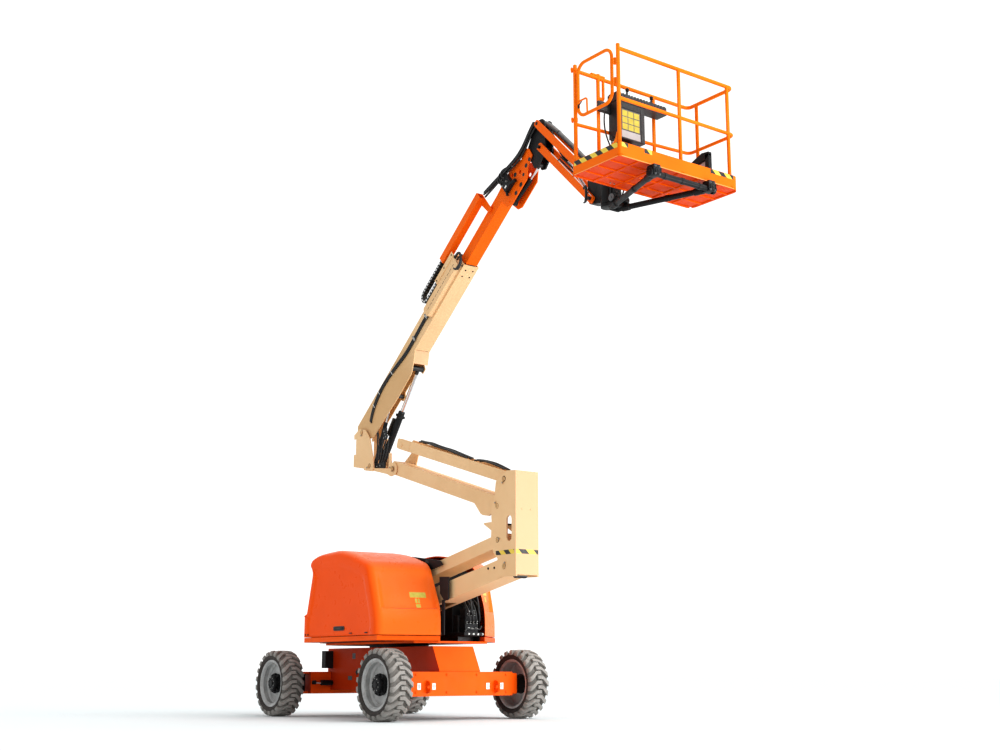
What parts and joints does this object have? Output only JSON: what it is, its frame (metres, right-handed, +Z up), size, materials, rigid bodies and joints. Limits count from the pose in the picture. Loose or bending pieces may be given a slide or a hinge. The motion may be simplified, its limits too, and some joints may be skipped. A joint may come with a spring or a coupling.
{
  "type": "articulating_boom_lift",
  "caption": "Electric articulating boom lift: steered wheeled chassis, swinging turntable with opening hoods, tower of paired arms, telescopic main boom, jib and rotating platform with gate.",
  "frame": {"origin": "on the ground under the turntable's swing axis", "axes": "+X along the boom towards the platform with the turntable unswung, +Y to the machine's left, +Z up"},
  "size_m": [7.1499, 2.295, 7.06],
  "materials": {
    "orange_paint": "satin",
    "tan_paint": "satin",
    "black_paint": "satin",
    "dark_steel": "matte",
    "rod_chrome": "polished",
    "light_tyre": "matte",
    "rim_silver": "satin",
    "hose_black": "matte",
    "hidden_mass": "matte"
  },
  "bodies": {
    "root": {"chassis_frame": "orange_paint", "swing_bearing": "dark_steel", "drive_axle": "orange_paint", "steer_axle": "orange_paint", "axle_control_box": "dark_steel"},
    "knuckle_left": {"steer_knuckle_left": "black_paint"},
    "knuckle_right": {"steer_knuckle_right": "black_paint"},
    "tie_rod": {"tie_rod": "black_paint"},
    "wheel_drive_left": {"tyre_drive_left": "light_tyre", "rim_drive_left": "rim_silver"},
    "wheel_drive_right": {"tyre_drive_right": "light_tyre", "rim_drive_right": "rim_silver"},
    "wheel_steer_left": {"tyre_steer_left": "light_tyre", "rim_steer_left": "rim_silver"},
    "wheel_steer_right": {"tyre_steer_right": "light_tyre", "rim_steer_right": "rim_silver"},
    "turntable": {"turntable_deck": "dark_steel", "side_trays": "orange_paint", "counterweight": "orange_paint", "tower_bracket": "black_paint", "hood_bulkheads": "dark_steel", "battery_packs": "hidden_mass"},
    "hood_right": {"hood_right": "orange_paint"},
    "hood_left": {"hood_left": "orange_paint"},
    "lower_boom": {"lower_boom": "tan_paint"},
    "lower_link": {"lower_link": "tan_paint"},
    "tower_cylinder": {"tower_cylinder": "black_paint"},
    "tower_rod": {"tower_rod": "rod_chrome"},
    "lower_upright": {"lower_upright": "tan_paint", "rest_pad": "hose_black"},
    "upper_boom": {"upper_boom": "tan_paint"},
    "upper_link": {"upper_link": "tan_paint"},
    "upper_upright": {"upper_upright": "tan_paint"},
    "main_boom": {"main_boom": "tan_paint", "hose_cover": "tan_paint", "chain_channel": "tan_paint"},
    "energy_chain": {"energy_chain": "hose_black"},
    "lift_cylinder": {"lift_cylinder": "black_paint"},
    "lift_rod": {"lift_rod": "rod_chrome"},
    "levelling_cylinder": {"levelling_cylinder": "black_paint"},
    "levelling_rod": {"levelling_rod": "rod_chrome"},
    "fly_boom": {"fly_boom": "orange_paint", "boom_valve": "dark_steel", "hose_carrier": "orange_paint"},
    "slave_cylinder": {"slave_cylinder": "black_paint"},
    "slave_rod": {"slave_rod": "rod_chrome"},
    "jib_knuckle": {"jib_knuckle": "black_paint"},
    "jib_arms": {"jib_arms": "orange_paint"},
    "jib_links": {"jib_links": "orange_paint"},
    "jib_cylinder": {"jib_cylinder": "black_paint"},
    "jib_rod": {"jib_rod": "rod_chrome"},
    "jib_end": {"jib_end": "black_paint"},
    "platform": {"platform_support": "black_paint", "platform_floor": "orange_paint", "platform_rails": "orange_paint", "platform_console": "hose_black"},
    "platform_gate": {"platform_gate": "orange_paint"}
  },
  "joints": [
    {"name": "steer_left", "type": "hinge", "parent": "root", "child": "knuckle_left", "pos_m": [-1.33, 0.7, 0.42], "axis": [0, 0, 1], "range_deg": [-35, 35]},
    {"name": "steer_right", "type": "hinge", "parent": "root", "child": "knuckle_right", "pos_m": [-1.33, -0.7, 0.42], "axis": [0, 0, 1], "range_deg": [-35.5, 35.5]},
    {"name": "tie_rod_swing", "type": "hinge", "parent": "knuckle_left", "child": "tie_rod", "pos_m": [-1.56, 0.7, 0.365], "axis": [0, 0, 1], "range_deg": [-35.5, 35.5]},
    {"name": "wheel_drive_left_spin", "type": "hinge", "parent": "root", "child": "wheel_drive_left", "pos_m": [1.245, 0.9955, 0.42], "axis": [0, 1, 0], "continuous": true},
    {"name": "wheel_drive_right_spin", "type": "hinge", "parent": "root", "child": "wheel_drive_right", "pos_m": [1.245, -0.9955, 0.42], "axis": [0, 1, 0], "continuous": true},
    {"name": "wheel_steer_left_spin", "type": "hinge", "parent": "knuckle_left", "child": "wheel_steer_left", "pos_m": [-1.33, 0.9955, 0.42], "axis": [0, 1, 0], "continuous": true},
    {"name": "wheel_steer_right_spin", "type": "hinge", "parent": "knuckle_right", "child": "wheel_steer_right", "pos_m": [-1.33, -0.9955, 0.42], "axis": [0, 1, 0], "continuous": true},
    {"name": "swing", "type": "hinge", "parent": "root", "child": "turntable", "pos_m": [0, 0, 0.905], "axis": [0, 0, 1], "range_deg": [-177.5, 177.5]},
    {"name": "hood_right_open", "type": "hinge", "parent": "turntable", "child": "hood_right", "pos_m": [0, -0.206, 1.985], "axis": [-1, 0, 0], "range_deg": [0, 55]},
    {"name": "hood_left_open", "type": "hinge", "parent": "turntable", "child": "hood_left", "pos_m": [0, 0.476, 1.985], "axis": [1, 0, 0], "range_deg": [0, 55]},
    {"name": "tower_lift", "type": "hinge", "parent": "turntable", "child": "lower_boom", "pos_m": [-0.39, 0, 1.2], "axis": [0, -1, 0], "range_deg": [-15.5, 60]},
    {"name": "lower_link_swing", "type": "hinge", "parent": "turntable", "child": "lower_link", "pos_m": [-0.514, 0, 1.511], "axis": [0, -1, 0], "range_deg": [-16, 60.5]},
    {"name": "tower_cylinder_swing", "type": "hinge", "parent": "turntable", "child": "tower_cylinder", "pos_m": [-0.15, 0, 1.005], "axis": [0, -1, 0], "range_deg": [-16.47, 62.32]},
    {"name": "tower_rod_slide", "type": "slide", "parent": "tower_cylinder", "child": "tower_rod", "axis": [0.936, 0, 0.3521], "range_m": [-0.079, 0.2972]},
    {"name": "lower_upright_level", "type": "hinge", "parent": "lower_boom", "child": "lower_upright", "pos_m": [2.454, 0, 1.755], "axis": [0, -1, 0], "range_deg": [-60.5, 16]},
    {"name": "upper_boom_lift", "type": "hinge", "parent": "lower_upright", "child": "upper_boom", "pos_m": [2.319, 0, 2.461], "axis": [0, 1, 0], "range_deg": [-17.55, 66.5]},
    {"name": "upper_link_swing", "type": "hinge", "parent": "lower_upright", "child": "upper_link", "pos_m": [2.455, 0, 2.767], "axis": [0, 1, 0], "range_deg": [-17.55, 66.5]},
    {"name": "upper_upright_level", "type": "hinge", "parent": "upper_boom", "child": "upper_upright", "pos_m": [0, 0, 3.17], "axis": [0, 1, 0], "range_deg": [-66.5, 17.55]},
    {"name": "main_lift", "type": "hinge", "parent": "upper_upright", "child": "main_boom", "pos_m": [-0.8, 0, 3.77], "axis": [0, -1, 0], "range_deg": [-37, 36]},
    {"name": "lift_cylinder_swing", "type": "hinge", "parent": "upper_upright", "child": "lift_cylinder", "pos_m": [-0.58, 0.035, 3.28], "axis": [0, -1, 0], "range_deg": [-31.15, 30.32]},
    {"name": "lift_rod_slide", "type": "slide", "parent": "lift_cylinder", "child": "lift_rod", "axis": [0.5941, 0, 0.8044], "range_m": [-0.3006, 0.2926]},
    {"name": "levelling_cylinder_swing", "type": "hinge", "parent": "upper_upright", "child": "levelling_cylinder", "pos_m": [-0.58, -0.06, 3.28], "axis": [0, -1, 0], "range_deg": [-24.45, 23.81]},
    {"name": "levelling_rod_slide", "type": "slide", "parent": "levelling_cylinder", "child": "levelling_rod", "axis": [0.4181, 0, 0.9084], "range_m": [-0.2626, 0.2556]},
    {"name": "fly_extend", "type": "slide", "parent": "main_boom", "child": "fly_boom", "axis": [0.7771, 0, 0.6293], "range_m": [-0.7, 0.45]},
    {"name": "chain_roll", "type": "slide", "parent": "main_boom", "child": "energy_chain", "axis": [0.7771, 0, 0.6293], "range_m": [-0.353, 0.228]},
    {"name": "slave_cylinder_swing", "type": "hinge", "parent": "fly_boom", "child": "slave_cylinder", "pos_m": [2.45443, 0, 6.18663], "axis": [0, -1, 0], "range_deg": [-2.97, 3.04]},
    {"name": "slave_rod_slide", "type": "slide", "parent": "slave_cylinder", "child": "slave_rod", "axis": [0.8386, 0, 0.5448], "range_m": [-0.1193, 0.1226]},
    {"name": "jib_knuckle_level", "type": "hinge", "parent": "fly_boom", "child": "jib_knuckle", "pos_m": [2.82769, 0, 6.66003], "axis": [0, -1, 0], "range_deg": [-36.5, 37.5]},
    {"name": "jib_lift", "type": "hinge", "parent": "jib_knuckle", "child": "jib_arms", "pos_m": [3.08, 0, 6.69], "axis": [0, -1, 0], "range_deg": [-15, 122]},
    {"name": "jib_link_swing", "type": "hinge", "parent": "jib_knuckle", "child": "jib_links", "pos_m": [3.06, 0, 6.99], "axis": [0, -1, 0], "range_deg": [-15.5, 122.5]},
    {"name": "jib_cylinder_swing", "type": "hinge", "parent": "jib_knuckle", "child": "jib_cylinder", "pos_m": [3.06, 0, 6.99], "axis": [0, -1, 0], "range_deg": [-15.13, 119.51]},
    {"name": "jib_rod_slide", "type": "slide", "parent": "jib_cylinder", "child": "jib_rod", "axis": [0.595, 0, -0.8038], "range_m": [-0.52, 0.0666]},
    {"name": "jib_end_level", "type": "hinge", "parent": "jib_arms", "child": "jib_end", "pos_m": [3.9851, 0, 5.7849], "axis": [0, -1, 0], "range_deg": [-122.5, 15.5]},
    {"name": "platform_rotate", "type": "hinge", "parent": "jib_end", "child": "platform", "pos_m": [4.18, 0, 5.82], "axis": [0, 0, 1], "range_deg": [-90, 90]},
    {"name": "gate_open", "type": "hinge", "parent": "platform", "child": "platform_gate", "pos_m": [5.222, -0.845, 6.635], "axis": [0, 0, -1], "range_deg": [0, 80]}
  ],
  "couplings": [
    {"joint": "steer_right", "follows": "steer_left", "ratio": 1},
    {"joint": "tie_rod_swing", "follows": "steer_left", "ratio": -1},
    {"joint": "lower_link_swing", "follows": "tower_lift", "ratio": 1},
    {"joint": "tower_cylinder_swing", "follows": "tower_lift", "ratio": 1.0303},
    {"joint": "tower_rod_slide", "follows": "tower_lift", "m_per_rad": 0.28097},
    {"joint": "lower_upright_level", "follows": "tower_lift", "ratio": -1},
    {"joint": "upper_boom_lift", "follows": "tower_lift", "ratio": 1.1},
    {"joint": "upper_link_swing", "follows": "tower_lift", "ratio": 1.1},
    {"joint": "upper_upright_level", "follows": "tower_lift", "ratio": -1.1},
    {"joint": "lift_cylinder_swing", "follows": "main_lift", "ratio": 0.82847},
    {"joint": "lift_rod_slide", "follows": "main_lift", "m_per_rad": 0.4609},
    {"joint": "levelling_cylinder_swing", "follows": "main_lift", "ratio": 0.64741},
    {"joint": "levelling_rod_slide", "follows": "main_lift", "m_per_rad": 0.40206},
    {"joint": "chain_roll", "follows": "fly_extend", "ratio": 0.5},
    {"joint": "slave_cylinder_swing", "follows": "main_lift", "ratio": -0.068632},
    {"joint": "slave_rod_slide", "follows": "main_lift", "m_per_rad": -0.18517},
    {"joint": "jib_knuckle_level", "follows": "main_lift", "ratio": -1},
    {"joint": "jib_link_swing", "follows": "jib_lift", "ratio": 1},
    {"joint": "jib_cylinder_swing", "follows": "jib_lift", "ratio": 0.97547},
    {"joint": "jib_rod_slide", "follows": "jib_lift", "m_per_rad": -0.24282},
    {"joint": "jib_end_level", "follows": "jib_lift", "ratio": -1}
  ]
}
